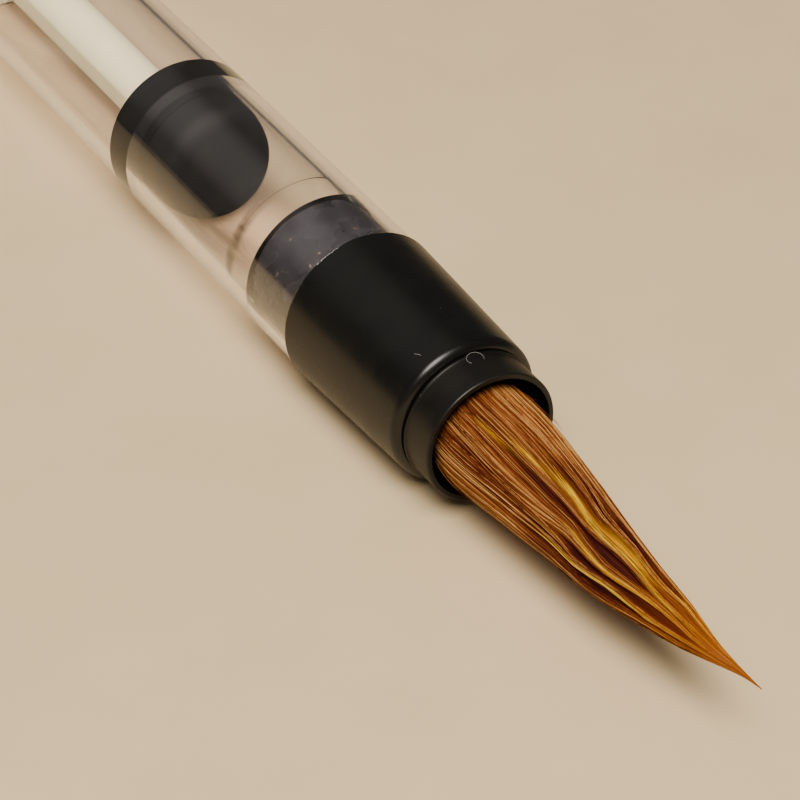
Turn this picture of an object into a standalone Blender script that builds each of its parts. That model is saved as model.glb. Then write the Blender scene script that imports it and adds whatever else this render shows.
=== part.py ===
"""Piston brush pen, lying on its side with the cap posted on the tail.

The pen's axis runs along X, with the tip at +X. Every piece is drawn in the pen's own axial frame:
local Z runs along the pen towards the tip, and local X points straight down once the pen lies flat.
Distances along the pen are counted from the rear edge of the grip section.
"""
import math

import bmesh
import bpy
from mathutils import Vector
from mathutils.geometry import interpolate_bezier

MM = 0.001
GAP = 0.3 * MM                    # clearance between pieces that touch on the real pen
RUN = 0.1 * MM                    # clearance of the seal in its bore
FINE = 36                         # sides of the large turned pieces
COARSE = 24                       # sides of the small inner ones
MERGE = 0.00001

# Tuft, neck and grip section
TIP = 51.8 * MM
RIM = 18.85 * MM
NECK_RADIUS = 5.5 * MM
NECK_BORE = 4.95 * MM
SHANK_RADIUS = 4.9 * MM
SHANK_BORE = 4.4 * MM
SHANK_END = 5.6 * MM
ROOT_START = 9.6 * MM
ROOT_RADIUS = 4.1 * MM
CORE_RADIUS = 2.3 * MM
CORE_TIP = 38.0 * MM
GRIP_RADIUS = 6.75 * MM
GRIP_FRONT_RADIUS = 6.2 * MM
GRIP_FRONT = 15.4 * MM
SHOULDER = 0.75 * MM              # radius of the rounded front edge
WEB_FRONT = 5.2 * MM
WEB_REAR = 2.6 * MM
SPIGOT_RADIUS = 5.7 * MM
SPIGOT_BORE = 4.4 * MM
SPIGOT_END = -6.35 * MM
WICK_RADIUS = 1.0 * MM
WICK_HOLE = 1.4 * MM

# Barrel and piston
BARREL_RADIUS = 6.6 * MM
BARREL_BORE = 5.4 * MM
BARREL_FRONT = -0.3 * MM
BARREL_STEP = -9.7 * MM
BARREL_REAR_STEP = -61.6 * MM
BARREL_REAR = -69.0 * MM
SEAT_BORE = 6.0 * MM              # bore in front of the step, round the spigot
REAR_BORE = 5.8 * MM
SEAL_FRONT = -21.4 * MM
SEAL_REAR = -30.0 * MM
ROD_RADIUS = 2.3 * MM
ROD_FLAT = 2.15 * MM              # half the distance across the rod's two flats
ROD_BORE = 1.9 * MM
ROD_BORE_FRONT = -33.0 * MM
ROD_REAR = -72.5 * MM
NUT_LENGTH = 5.0 * MM

# Spindle: a two-start form, left-handed, so that turning clockwise from behind drives the piston forward
LEAD = 12.0 * MM
SPINDLE_MEAN = 1.3 * MM
SPINDLE_WAVE = 0.3 * MM
SPINDLE_CLEARANCE = 0.2 * MM
SPINDLE_TIP = -58.2 * MM
SPINDLE_BASE = -97.9 * MM

# Knob and the parts that hold it
SLEEVE_FLANGE = -65.2 * MM
SLEEVE_NECK_RADIUS = 4.2 * MM
SLEEVE_BORE = 3.2 * MM
SLEEVE_END = -79.0 * MM
COLLAR_BORE = 4.5 * MM
COLLAR_FACE = -69.3 * MM
COLLAR_END = -72.6 * MM
ORING_MIDDLE = -70.95 * MM
KNOB_FRONT = -74.0 * MM
KNOB_SHOULDER = -85.5 * MM
KNOB_END = -102.0 * MM
KNOB_RADIUS = 6.5 * MM
TAIL_RADIUS = 5.5 * MM            # the same as the neck, so that the cap fits both

# Cap
CAP_MOUTH = -85.9 * MM
CAP_REAR = -130.0 * MM
CAP_RADIUS = 6.5 * MM
CAP_BORE = 5.8 * MM
LINER_FRONT = -102.6 * MM
LINER_END = -126.0 * MM
FINIAL_END = -134.0 * MM
STUD_RADIUS = 1.9 * MM
CLIP_THICKNESS = 0.6 * MM
CLIP_HALF_WIDTH = 2.0 * MM
CLIP_TOP = 9.2 * MM               # distance of the arm's middle surface from the axis at its highest
CLIP_TOP_AT = -116.0 * MM

# Where the pen lies: its box is centred on the origin, and the grip section and the clip touch the floor
CLIP_OUTER = CLIP_TOP + CLIP_THICKNESS / 2
CLIP_CORNER = math.hypot(CLIP_OUTER, CLIP_HALF_WIDTH)
CLIP_CORNER_ANGLE = math.atan2(CLIP_HALF_WIDTH, CLIP_OUTER)
CLIP_ANGLE = math.acos(GRIP_RADIUS / CLIP_CORNER) + CLIP_CORNER_ANGLE
CLIP_REACH = CLIP_CORNER * math.sin(CLIP_ANGLE + CLIP_CORNER_ANGLE)
AXIS = Vector((-(TIP + FINIAL_END) / 2, (CLIP_REACH - GRIP_RADIUS) / 2, GRIP_RADIUS))

# The tuft's outline: distance along the pen, radius, and sideways offset of its middle
TUFT_OUTLINE = (
    (ROOT_START, ROOT_RADIUS, 0.0),
    (15.5 * MM, ROOT_RADIUS, 0.0),
    (RIM, 4.3 * MM, -0.14 * MM),
    (22.6 * MM, 4.15 * MM, -0.12 * MM),
    (26.5 * MM, 3.7 * MM, -0.15 * MM),
    (31.0 * MM, 3.15 * MM, -0.2 * MM),
    (35.4 * MM, 2.65 * MM, -0.3 * MM),
    (39.5 * MM, 2.05 * MM, -0.15 * MM),
    (43.0 * MM, 1.5 * MM, 0.05 * MM),
    (46.0 * MM, 0.9 * MM, 0.2 * MM),
    (48.5 * MM, 0.43 * MM, 0.5 * MM),
    (50.2 * MM, 0.17 * MM, 0.7 * MM),
)
TUFT_TIP_OFFSET = 0.82 * MM
TUFT_LEAN = Vector((-0.557, 0.83, 0.0))   # the way the offset points, in the axial frame

for old in list(bpy.data.objects):
    bpy.data.objects.remove(old)

pen = bpy.data.collections.new("brush_pen")
cutters = bpy.data.collections.new("brush_pen_cutters")
bpy.context.scene.collection.children.link(pen)
bpy.context.scene.collection.children.link(cutters)


def material(name, colour, roughness, metallic=0.0, clear=0.0):
    """A Principled material; clear is how much light goes through."""
    made = bpy.data.materials.new(name)
    made.use_nodes = True
    shader = made.node_tree.nodes["Principled BSDF"]
    shader.inputs["Base Color"].default_value = (*colour, 1.0)
    shader.inputs["Roughness"].default_value = roughness
    shader.inputs["Metallic"].default_value = metallic
    shader.inputs["Transmission Weight"].default_value = clear
    return made


BLACK_GLOSS = material("black_gloss", (0.012, 0.012, 0.011), 0.18)
BLACK_SATIN = material("black_satin", (0.020, 0.020, 0.020), 0.40)
CLEAR = material("clear_plastic", (0.96, 0.92, 0.95), 0.05, clear=1.0)
SILICONE = material("black_silicone", (0.025, 0.022, 0.022), 0.55)
WHITE = material("white_plastic", (0.78, 0.74, 0.64), 0.45)
HAIR = material("weasel_hair", (0.42, 0.13, 0.04), 0.35)
CORE_HAIR = material("core_hair", (0.30, 0.10, 0.04), 0.5)
THREAD = material("binding_thread", (0.75, 0.70, 0.60), 0.8)
RESIN = material("resin", (0.45, 0.22, 0.06), 0.3)
FIBRE = material("fibre_wick", (0.85, 0.83, 0.78), 0.9)
RUBBER = material("oring_rubber", (0.015, 0.015, 0.015), 0.6)
NYLON = material("slip_washer", (0.88, 0.86, 0.80), 0.35)
METAL = material("polished_metal", (0.75, 0.74, 0.72), 0.15, metallic=1.0)
BRASS = material("brass", (0.72, 0.52, 0.22), 0.3, metallic=1.0)


def empty(name, parent=None):
    """A joint's empty; every joint of this pen turns or slides on the pen's own axis."""
    made = bpy.data.objects.new(name, None)
    pen.objects.link(made)
    made.parent = parent
    return made


pen_axis = empty("pen_axis")
pen_axis.location = AXIS
pen_axis.rotation_euler = (0.0, math.radians(90.0), 0.0)
knob_joint = empty("knob_joint", pen_axis)
piston_joint = empty("piston_joint", pen_axis)
cap_joint = empty("cap_joint", knob_joint)
grip_joint = empty("grip_joint", pen_axis)
head_joint = empty("head_joint", grip_joint)


def add(name, mesh, finish=None, parent=None):
    """Puts a mesh on the pen, or among the cutters when it has no material."""
    made = bpy.data.objects.new(name, mesh)
    if finish is None:
        cutters.objects.link(made)
        made.hide_render = True
        made.display_type = "WIRE"
        made.parent = pen_axis
    else:
        pen.objects.link(made)
        made.data.materials.append(finish)
        made.parent = parent
    return made


def realise(made):
    """Applies the modifiers, closes the mesh and shades its round faces smooth."""
    bpy.context.view_layer.update()
    evaluated = made.evaluated_get(bpy.context.evaluated_depsgraph_get())
    finish = list(made.data.materials)
    made.data = bpy.data.meshes.new_from_object(evaluated)
    made.modifiers.clear()
    shape = bmesh.new()
    shape.from_mesh(made.data)
    bmesh.ops.remove_doubles(shape, verts=shape.verts, dist=MERGE / 10)
    bmesh.ops.recalc_face_normals(shape, faces=shape.faces)
    shape.to_mesh(made.data)
    shape.free()
    if not made.data.materials:
        for slot in finish:
            made.data.materials.append(slot)
    made.data.shade_smooth()
    made.data.set_sharp_from_angle(angle=math.radians(35.0))
    return made


def turned(name, outline, finish=None, parent=None, sides=FINE):
    """A turned piece. The outline's (along, radius) points run down the outside and back up the bore."""
    closed = outline[0][1] > 0.0
    points = [(radius, 0.0, along) for along, radius in outline]
    edges = [(i, i + 1) for i in range(len(points) - 1)]
    if closed:
        edges.append((len(points) - 1, 0))
    mesh = bpy.data.meshes.new(name)
    mesh.from_pydata(points, edges, [])
    made = add(name, mesh, finish, parent)
    screw = made.modifiers.new("turn", "SCREW")
    screw.axis = "Z"
    screw.steps = sides
    screw.render_steps = sides
    screw.use_merge_vertices = True
    screw.merge_threshold = MERGE
    return realise(made)


def ring(name, front, rear, outer, bore, finish, parent, sides=FINE):
    """A plain ring between two stations along the pen."""
    outline = ((front, outer), (rear, outer), (rear, bore), (front, bore))
    return turned(name, outline, finish, parent, sides)


def arc(along, out, radius, start, end, steps=4):
    """Points on a round: angles are in degrees from the forward direction towards the outside."""
    points = []
    for step in range(steps + 1):
        angle = math.radians(start + (end - start) * step / steps)
        points.append((along + radius * math.cos(angle), out + radius * math.sin(angle)))
    return points


def loft(name, rings, finish=None, parent=None, closed=False):
    """A skin over rings with the same number of points; a single point closes an end."""
    shape = bmesh.new()
    layers = [[shape.verts.new(point) for point in points] for points in rings]
    pairs = list(zip(layers, layers[1:]))
    if closed:
        pairs.append((layers[-1], layers[0]))
    for near, far in pairs:
        sides = max(len(near), len(far))
        for i in range(sides):
            j = (i + 1) % sides
            corners = [near[i % len(near)], near[j % len(near)], far[j % len(far)], far[i % len(far)]]
            shape.faces.new(list(dict.fromkeys(corners)))
    if not closed:
        for end in (layers[0], layers[-1]):
            if len(end) > 2:
                shape.faces.new(end)
    mesh = bpy.data.meshes.new(name)
    shape.to_mesh(mesh)
    shape.free()
    return realise(add(name, mesh, finish, parent))


def cut(made, *tools):
    """Takes the cutters out of a piece."""
    for tool in tools:
        boolean = made.modifiers.new("cut_" + tool.name, "BOOLEAN")
        boolean.operation = "DIFFERENCE"
        boolean.solver = "EXACT"
        boolean.object = tool
    return realise(made)


def flats_cutter(name, front, rear, half_across, side):
    """A block beyond one flat of the rod, on the side given by +1 or -1."""
    width = 2.0 * ROD_RADIUS
    shape = bmesh.new()
    bmesh.ops.create_cube(shape, size=1.0)
    bmesh.ops.scale(shape, verts=shape.verts, vec=(width, width, front - rear))
    centre = Vector((0.0, side * (half_across + width / 2), (front + rear) / 2))
    bmesh.ops.translate(shape, verts=shape.verts, vec=centre)
    mesh = bpy.data.meshes.new(name)
    shape.to_mesh(mesh)
    shape.free()
    return add(name, mesh)


def twisted_bar(front, rear, grow=0.0):
    """Rings of the spindle's two-start form between two stations, widened by grow."""
    points_round = 12
    pitch = LEAD / 16
    count = math.ceil((front - rear) / pitch)
    rings = []
    for step in range(count + 1):
        along = max(front - step * pitch, rear)
        twist = 2.0 * math.pi * along / LEAD
        points = []
        for i in range(points_round):
            place = 2.0 * math.pi * i / points_round
            radius = SPINDLE_MEAN + grow + SPINDLE_WAVE * math.cos(2.0 * place)
            angle = place - twist
            points.append((radius * math.cos(angle), radius * math.sin(angle), along))
        rings.append(points)
    return rings


def tuft_ring(along, radius, offset, sides):
    """One ring of the tuft, moved sideways by its offset."""
    middle = TUFT_LEAN * offset
    points = []
    for i in range(sides):
        angle = 2.0 * math.pi * i / sides
        points.append((middle.x + radius * math.cos(angle), middle.y + radius * math.sin(angle), along))
    return points


def make_tuft():
    """Cover hair with a groove for the binding and a hollow for the core hair inside it."""
    sides = COARSE
    groove_radius = ROOT_RADIUS - 0.65 * MM
    groove = [(10.6, ROOT_RADIUS), (10.8, groove_radius), (13.2, groove_radius), (13.4, ROOT_RADIUS)]
    outer = [tuft_ring(*TUFT_OUTLINE[0], sides)]
    outer += [tuft_ring(along * MM, radius, 0.0, sides) for along, radius in groove]
    outer += [tuft_ring(*station, sides) for station in TUFT_OUTLINE[1:]]
    outer.append([tuple(TUFT_LEAN * TUFT_TIP_OFFSET + Vector((0.0, 0.0, TIP)))])
    core = [
        (ROOT_START, CORE_RADIUS, 0.0),
        (26.0 * MM, CORE_RADIUS, 0.0),
        (33.0 * MM, 1.3 * MM, -0.15 * MM),
    ]
    core_tip_offset = TUFT_LEAN * (-0.3 * MM)
    hollow = [[tuple(core_tip_offset + Vector((0.0, 0.0, CORE_TIP + GAP)))]]
    hollow += [tuft_ring(along, radius + GAP, offset, sides) for along, radius, offset in reversed(core)]
    loft("cover_hair", list(reversed(outer)) + list(reversed(hollow)), HAIR, head_joint)
    strands = [tuft_ring(*station, sides // 2) for station in core]
    strands.append([tuple(core_tip_offset + Vector((0.0, 0.0, CORE_TIP - GAP)))])
    loft("core_hair", strands, CORE_HAIR, head_joint)


def make_root():
    """The thread round the tuft's root and the resin plug behind it."""
    turns = 4
    thread = 0.5 * MM
    start = 13.0 * MM
    outline = []
    for turn in range(turns):
        middle = start - thread * (turn + 0.5)
        outline += arc(middle, ROOT_RADIUS - 0.2 * MM, thread / 2, 0.0, 180.0, 3)[:-1]
    rear = start - thread * turns
    bore = ROOT_RADIUS - 0.65 * MM + GAP / 2
    outline += [(rear, ROOT_RADIUS - 0.2 * MM), (rear, bore), (start, bore)]
    turned("root_binding", outline, THREAD, head_joint, COARSE)
    ring("root_plug", ROOT_START - GAP, 7.5 * MM, ROOT_RADIUS, WICK_HOLE, RESIN, head_joint, COARSE)


def make_ferrule():
    """The neck that shows, and the shank that pushes into the grip section."""
    edge = 0.2 * MM
    lip = GRIP_FRONT + GAP
    outline = [
        (RIM, NECK_RADIUS - edge),
        (RIM - edge, NECK_RADIUS),
        (lip + edge, NECK_RADIUS),
        (lip, NECK_RADIUS - edge),
        (lip, SHANK_RADIUS),
        (SHANK_END, SHANK_RADIUS),
        (SHANK_END, WICK_HOLE + GAP),
        (SHANK_END + 1.6 * MM, WICK_HOLE + GAP),
        (SHANK_END + 1.6 * MM, SHANK_BORE),
        (lip, SHANK_BORE),
        (lip + 1.2 * MM, NECK_BORE),
        (RIM, NECK_BORE),
    ]
    turned("ferrule", outline, BLACK_GLOSS, head_joint)


def make_grip_section():
    """The tapered collar, with its web and the spigot that pushes into the barrel."""
    edge = 0.25 * MM
    round_centre = GRIP_FRONT - SHOULDER
    mouth = SHANK_RADIUS + GAP
    outline = [(GRIP_FRONT, GRIP_FRONT_RADIUS - SHOULDER)]
    outline += arc(round_centre, GRIP_FRONT_RADIUS - SHOULDER, SHOULDER, 0.0, 90.0)[1:]
    outline += [
        (edge, GRIP_RADIUS),
        (0.0, GRIP_RADIUS - edge),
        (0.0, SPIGOT_RADIUS),
        (SPIGOT_END + edge, SPIGOT_RADIUS),
        (SPIGOT_END, SPIGOT_RADIUS - edge),
        (SPIGOT_END, SPIGOT_BORE),
        (WEB_REAR, SPIGOT_BORE),
        (WEB_REAR, WICK_HOLE),
        (WEB_FRONT, WICK_HOLE),
        (WEB_FRONT, mouth),
        (GRIP_FRONT, mouth),
    ]
    turned("grip_section", outline, BLACK_GLOSS, grip_joint)
    plug_front = WEB_REAR - GAP
    ring("flow_plug", plug_front, -3.4 * MM, SPIGOT_BORE - GAP, WICK_HOLE, BLACK_SATIN, grip_joint, COARSE)
    wick_front = ROOT_START - GAP
    wick_rear = SPIGOT_END + 1.2 * MM
    wick = ((wick_front, 0.0), (wick_front, WICK_RADIUS), (wick_rear, WICK_RADIUS), (wick_rear, 0.0))
    turned("ink_wick", wick, FIBRE, grip_joint, 12)


def make_barrel():
    """The clear tube: a counterbore for the spigot in front, and one for the guide behind."""
    edge = 0.2 * MM
    outline = [
        (BARREL_FRONT, BARREL_RADIUS - edge),
        (BARREL_FRONT - edge, BARREL_RADIUS),
        (BARREL_REAR, BARREL_RADIUS),
        (BARREL_REAR, REAR_BORE),
        (BARREL_REAR_STEP, REAR_BORE),
        (BARREL_REAR_STEP, BARREL_BORE),
        (BARREL_STEP, BARREL_BORE),
        (BARREL_STEP, SEAT_BORE),
        (BARREL_FRONT, SEAT_BORE),
    ]
    turned("barrel", outline, CLEAR, pen_axis)


def make_piston():
    """The two-lip seal, and the rod whose barb holds it."""
    lip = BARREL_BORE - RUN
    front_lip = 5.2 * MM
    waist = 4.75 * MM
    neck = 1.6 * MM
    barb = 2.6 * MM
    barb_rear = SEAL_REAR + 2.2 * MM
    barb_front = SEAL_REAR + 4.4 * MM
    dome = 0.5 * MM
    outline = [
        (SEAL_FRONT, 0.0),
        (SEAL_FRONT - dome / 5, 2.6 * MM),
        (SEAL_FRONT - dome, front_lip - 0.3 * MM),
        (SEAL_FRONT - 2 * dome, front_lip),
        (SEAL_FRONT - 3.6 * MM, front_lip),
        (SEAL_FRONT - 4.0 * MM, waist),
        (SEAL_REAR + 3.7 * MM, waist),
        (SEAL_REAR + 3.2 * MM, lip),
        (SEAL_REAR + 0.3 * MM, lip),
        (SEAL_REAR, lip - 0.3 * MM),
        (SEAL_REAR, neck + GAP),
        (barb_rear - GAP, neck + GAP),
        (barb_rear - GAP, barb + GAP),
        (barb_front + GAP, barb + GAP),
        (barb_front + 1.2 * MM, 0.0),
    ]
    turned("piston_seal", outline, SILICONE, piston_joint)

    shoulder = SEAL_REAR - GAP
    shaft = [
        (barb_front, 0.0),
        (barb_front, barb - 0.5 * MM),
        (barb_rear, barb),
        (barb_rear, neck),
        (shoulder, neck),
        (shoulder, ROD_RADIUS),
        (ROD_REAR, ROD_RADIUS),
        (ROD_REAR, 0.0),
    ]
    rod = turned("piston_rod", shaft, WHITE, piston_joint, COARSE)
    nut_front = ROD_REAR + NUT_LENGTH
    overlap = 0.5 * MM
    bore = ((ROD_BORE_FRONT, 0.0), (ROD_BORE_FRONT, ROD_BORE), (nut_front, ROD_BORE), (nut_front, 0.0))
    bore_cutter = turned("rod_bore_cutter", bore, sides=COARSE)
    nut_rings = twisted_bar(nut_front + overlap, ROD_REAR - overlap, SPINDLE_CLEARANCE)
    nut_cutter = loft("rod_nut_cutter", nut_rings)
    front, rear = shoulder - 0.8 * MM, ROD_REAR - overlap
    flats = [flats_cutter(f"rod_flat_cutter_{side}", front, rear, ROD_FLAT, side) for side in (-1, 1)]
    cut(rod, *flats, bore_cutter, nut_cutter)


def make_rod_guide():
    """A bush in the barrel with a flat-sided hole for the rod."""
    front = BARREL_REAR_STEP - GAP
    rear = SLEEVE_FLANGE + 1.2 * MM
    outline = ((front, 0.0), (front, REAR_BORE - GAP), (rear, REAR_BORE - GAP), (rear, 0.0))
    guide = turned("rod_guide", outline, WHITE, pen_axis, COARSE)
    clearance = 0.15 * MM
    over = 1.0 * MM
    hole_radius = ROD_RADIUS + clearance
    hole = ((front + over, 0.0), (front + over, hole_radius),
            (rear - over, hole_radius), (rear - over, 0.0))
    hole_cutter = turned("guide_hole_cutter", hole, sides=COARSE)
    cut_front, cut_rear = front + 2 * over, rear - 2 * over
    half = ROD_FLAT + clearance
    flats = [flats_cutter(f"guide_flat_cutter_{side}", cut_front, cut_rear, half, side) for side in (-1, 1)]
    cut(hole_cutter, *flats)
    cut(guide, hole_cutter)


def make_knob():
    """Everything that turns: washer, drive sleeve, spindle, trim ring, knob and end plug."""
    washer_front = SLEEVE_FLANGE + 0.9 * MM
    washer_rear = SLEEVE_FLANGE + GAP
    ring("thrust_washer", washer_front, washer_rear, 5.4 * MM, 3.4 * MM, NYLON, knob_joint, COARSE)
    flange_radius = 5.3 * MM
    flange_rear = SLEEVE_FLANGE - 1.2 * MM
    sleeve = (
        (SLEEVE_FLANGE, flange_radius),
        (flange_rear, flange_radius),
        (flange_rear, SLEEVE_NECK_RADIUS),
        (SLEEVE_END, SLEEVE_NECK_RADIUS),
        (SLEEVE_END, SLEEVE_BORE),
        (SLEEVE_FLANGE, SLEEVE_BORE),
    )
    turned("drive_sleeve", sleeve, BRASS, knob_joint, COARSE)

    trim_rear = KNOB_FRONT + GAP
    ring("trim_ring", COLLAR_END - GAP, trim_rear, GRIP_RADIUS, COLLAR_BORE, METAL, knob_joint)

    edge = 0.4 * MM
    plug_bore = 4.1 * MM
    knob = (
        (KNOB_FRONT, KNOB_RADIUS - edge),
        (KNOB_FRONT - edge, KNOB_RADIUS),
        (KNOB_SHOULDER + edge, KNOB_RADIUS),
        (KNOB_SHOULDER, KNOB_RADIUS - edge),
        (KNOB_SHOULDER, TAIL_RADIUS),
        (KNOB_END + edge, TAIL_RADIUS),
        (KNOB_END, TAIL_RADIUS - edge),
        (KNOB_END, plug_bore),
        (SPINDLE_BASE + GAP, plug_bore),
        (SPINDLE_BASE + GAP, SLEEVE_BORE),
        (SLEEVE_END - GAP, SLEEVE_BORE),
        (SLEEVE_END - GAP, COLLAR_BORE),
        (KNOB_FRONT, COLLAR_BORE),
    )
    turned("turning_knob", knob, BLACK_GLOSS, knob_joint)

    base_radius = plug_bore - GAP
    base_length = 1.5 * MM
    spindle = loft("screw_spindle", twisted_bar(SPINDLE_TIP, SPINDLE_BASE), WHITE, knob_joint)
    disc = (
        (SPINDLE_BASE + 0.2 * MM, 0.0),
        (SPINDLE_BASE + 0.2 * MM, SLEEVE_BORE - GAP),
        (SPINDLE_BASE, base_radius),
        (SPINDLE_BASE - base_length, base_radius),
        (SPINDLE_BASE - base_length, 0.0),
    )
    base = turned("spindle_base_tool", disc, sides=COARSE)
    union = spindle.modifiers.new("base", "BOOLEAN")
    union.operation = "UNION"
    union.solver = "EXACT"
    union.object = base
    realise(spindle)

    plug_front = SPINDLE_BASE - base_length - GAP
    plug_end = KNOB_END + GAP
    plug = (
        (plug_front, 0.0),
        (plug_front, base_radius),
        (plug_end + edge, base_radius),
        (plug_end, base_radius - edge),
        (plug_end, 0.0),
    )
    turned("knob_end_plug", plug, BLACK_SATIN, knob_joint, COARSE)


def make_rear_collar():
    """The collar that closes the barrel, and the friction ring in its bore."""
    edge = 0.3 * MM
    spigot_front = SLEEVE_FLANGE - 1.5 * MM
    groove = 0.55 * MM
    outline = (
        (spigot_front, REAR_BORE - GAP),
        (COLLAR_FACE, REAR_BORE - GAP),
        (COLLAR_FACE, GRIP_RADIUS - edge),
        (COLLAR_FACE - edge, GRIP_RADIUS),
        (COLLAR_END + edge, GRIP_RADIUS),
        (COLLAR_END, GRIP_RADIUS - edge),
        (COLLAR_END, COLLAR_BORE),
        (ORING_MIDDLE - groove, COLLAR_BORE),
        (ORING_MIDDLE - groove, 5.15 * MM),
        (ORING_MIDDLE + groove, 5.15 * MM),
        (ORING_MIDDLE + groove, COLLAR_BORE),
        (spigot_front, COLLAR_BORE),
    )
    turned("rear_collar", outline, BLACK_GLOSS, pen_axis)
    section_radius = 0.3 * MM
    oring = arc(ORING_MIDDLE, 4.67 * MM, section_radius, 0.0, 360.0, 8)[:-1]
    turned("knob_oring", oring, RUBBER, pen_axis, COARSE)


def make_cap():
    """The cap's shell, mouth band, inner sleeve, finial and the nut that holds it."""
    edge = 0.3 * MM
    band_front = CAP_MOUTH - 1.0 * MM
    band_rear = band_front - 2.4 * MM
    band_seat = 6.15 * MM
    hole = STUD_RADIUS + GAP
    wall_front = CAP_REAR + 1.4 * MM
    shell = (
        (CAP_MOUTH, CAP_RADIUS - edge),
        (CAP_MOUTH - edge, CAP_RADIUS),
        (band_front + GAP / 3, CAP_RADIUS),
        (band_front + GAP / 3, band_seat),
        (band_rear - GAP / 3, band_seat),
        (band_rear - GAP / 3, CAP_RADIUS),
        (CAP_REAR + edge, CAP_RADIUS),
        (CAP_REAR, CAP_RADIUS - edge),
        (CAP_REAR, hole),
        (wall_front, hole),
        (wall_front, CAP_BORE),
        (CAP_MOUTH, CAP_BORE),
    )
    turned("cap_shell", shell, BLACK_GLOSS, cap_joint)
    band_outer = GRIP_RADIUS - GAP / 3
    ring("cap_band", band_front, band_rear, band_outer, band_seat + GAP / 2, METAL, cap_joint)

    liner_outer = CAP_BORE - GAP
    liner_bore = 4.95 * MM
    liner_floor = LINER_END + 0.8 * MM
    liner = (
        (liner_floor, 0.0),
        (liner_floor, liner_bore),
        (LINER_FRONT, liner_bore),
        (LINER_FRONT, liner_outer),
        (LINER_END, liner_outer),
        (LINER_END, 0.0),
    )
    turned("cap_inner_sleeve", liner, WHITE, cap_joint, COARSE)

    stud_end = LINER_END - GAP
    head_front = CAP_REAR - 1.2 * MM
    crown = 1.6 * MM
    finial = (
        (stud_end, 0.0),
        (stud_end, STUD_RADIUS),
        (head_front, STUD_RADIUS),
        (head_front, CAP_RADIUS - edge),
        (head_front - edge, CAP_RADIUS),
        (FINIAL_END + crown, CAP_RADIUS - 0.1 * MM),
        (FINIAL_END + 0.4 * crown, CAP_RADIUS - 0.8 * MM),
        (FINIAL_END, CAP_RADIUS - 2.2 * MM),
        (FINIAL_END, 0.0),
    )
    turned("cap_finial", finial, METAL, cap_joint)
    make_finial_nut(stud_end - 0.2 * MM, wall_front + GAP)


def make_finial_nut(front, rear):
    """A hexagon nut on the finial's stud, inside the cap."""
    nut_radius = 3.6 * MM
    shape = bmesh.new()
    bmesh.ops.create_cone(
        shape, cap_ends=True, segments=6, radius1=nut_radius, radius2=nut_radius, depth=front - rear
    )
    bmesh.ops.translate(shape, verts=shape.verts, vec=(0.0, 0.0, (front + rear) / 2))
    mesh = bpy.data.meshes.new("finial_nut")
    shape.to_mesh(mesh)
    shape.free()
    nut = add("finial_nut", mesh, BRASS, cap_joint)
    hole = STUD_RADIUS + GAP / 2
    over = 1.0 * MM
    tool = ((front + over, 0.0), (front + over, hole), (rear - over, hole), (rear - over, 0.0))
    cut(nut, turned("nut_hole_cutter", tool, sides=COARSE))


def clip_path():
    """The clip arm's middle line: out from the washer, over a bend, and forward along the cap."""
    middle = CAP_REAR - 0.6 * MM
    bend = 1.4 * MM
    shoulder = 8.6 * MM
    touch = CAP_RADIUS + GAP + CLIP_THICKNESS / 2
    points = [(middle, 4.0 * MM)]
    points += arc(middle + bend, shoulder - bend, bend, 180.0, 90.0)
    knots = (
        ((middle + bend, shoulder), (-125.5 * MM, 8.9 * MM),
         (-121.0 * MM, CLIP_TOP), (CLIP_TOP_AT, CLIP_TOP)),
        ((CLIP_TOP_AT, CLIP_TOP), (-108.0 * MM, CLIP_TOP),
         (-99.5 * MM, touch), (-96.0 * MM, touch)),
        ((-96.0 * MM, touch), (-95.0 * MM, touch),
         (-94.0 * MM, touch + 0.4 * MM), (-93.3 * MM, touch + MM)),
    )
    for knot in knots:
        curve = interpolate_bezier(*[Vector((*point, 0.0)) for point in knot], 6)
        points += [(point.x, point.y) for point in curve[1:]]
    return points


def make_clip():
    """A sprung metal arm on a washer that the finial clamps to the cap."""
    shape = bmesh.new()
    path = clip_path()
    rows = []
    for along, out in path:
        past_top = max(0.0, (along - CLIP_TOP_AT) / (path[-1][0] - CLIP_TOP_AT))
        half_width = CLIP_HALF_WIDTH * (1.0 - 0.3 * past_top)
        rows.append([shape.verts.new((out, side * half_width, along)) for side in (-1, 1)])
    for near, far in zip(rows, rows[1:]):
        shape.faces.new((near[0], near[1], far[1], far[0]))
    mesh = bpy.data.meshes.new("cap_clip")
    shape.to_mesh(mesh)
    shape.free()
    clip = add("cap_clip", mesh, METAL, cap_joint)
    thicken = clip.modifiers.new("sheet", "SOLIDIFY")
    thicken.thickness = CLIP_THICKNESS
    thicken.offset = 0.0
    thicken.use_even_offset = True
    washer_front = CAP_REAR - 0.25 * MM
    washer_rear = CAP_REAR - 0.95 * MM
    bore = STUD_RADIUS + GAP
    washer = ((washer_front, 6.2 * MM), (washer_rear, 6.2 * MM), (washer_rear, bore), (washer_front, bore))
    union = clip.modifiers.new("washer", "BOOLEAN")
    union.operation = "UNION"
    union.solver = "EXACT"
    union.object = turned("clip_washer_tool", washer, sides=COARSE)
    realise(clip)
    clip.rotation_euler = (0.0, 0.0, -CLIP_ANGLE)


make_tuft()
make_root()
make_ferrule()
make_grip_section()
make_barrel()
make_piston()
make_rod_guide()
make_knob()
make_rear_collar()
make_cap()
make_clip()
bpy.context.view_layer.update()
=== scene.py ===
"""Looks of the piston brush pen: fine turned pieces, a tuft of separate hairs, and worn plastics."""
import math

import bmesh
import bpy
import numpy as np
from mathutils import Matrix, Vector


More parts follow.
